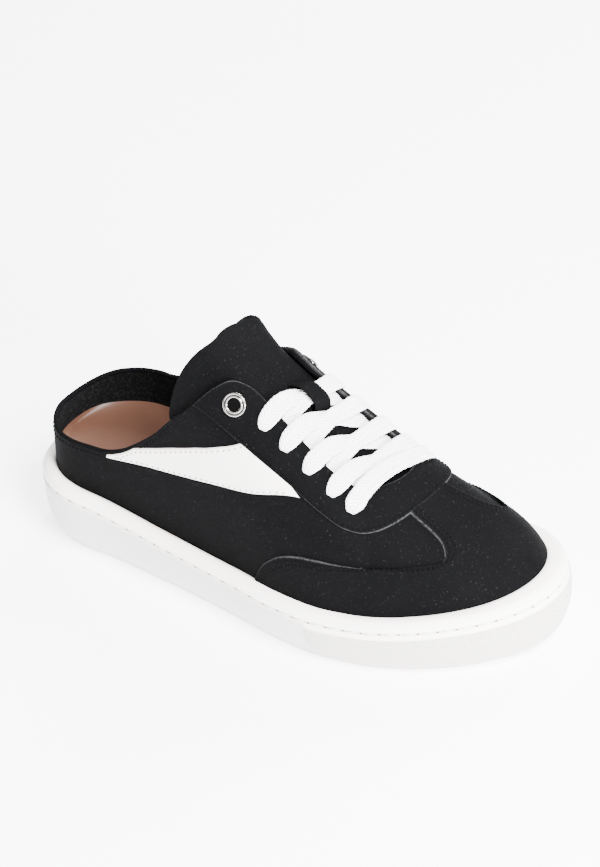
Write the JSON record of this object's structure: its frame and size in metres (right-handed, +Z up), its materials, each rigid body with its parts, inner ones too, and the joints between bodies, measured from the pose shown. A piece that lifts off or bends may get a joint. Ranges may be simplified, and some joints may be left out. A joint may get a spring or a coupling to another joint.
{
  "type": "sneaker mule",
  "caption": "Right backless lace-up sneaker mule: dark nubuck upper with a plain light side band, toe guard, padded tongue, flat white laces and a thick pale rubber cup sole.",
  "frame": {"origin": "on the ground under the middle of the shoe's bounding box", "axes": "+X from heel to toe, +Y to the medial (inner) side, +Z up"},
  "size_m": [0.2685, 0.1026, 0.1309],
  "materials": {
    "sole_rubber": "matte",
    "nubuck": "matte napped",
    "footbed": "smooth matte",
    "band_leather": "satin grained",
    "ring_metal": "polished",
    "lace_cotton": "matte woven"
  },
  "bodies": {
    "root": {"sole": "sole_rubber", "upper": "nubuck", "insole": "footbed", "tongue": "nubuck", "facing": "nubuck", "toe_guard": "nubuck", "side_band_lateral": "band_leather", "side_band_medial": "band_leather", "eyelet_lateral": "ring_metal", "eyelet_medial": "ring_metal", "lace_keeper": "nubuck", "lace_bar": "lace_cotton", "lace_crossing_1": "lace_cotton", "lace_crossing_2": "lace_cotton", "lace_crossing_3": "lace_cotton", "lace_crossing_4": "lace_cotton"}
  },
  "joints": []
}
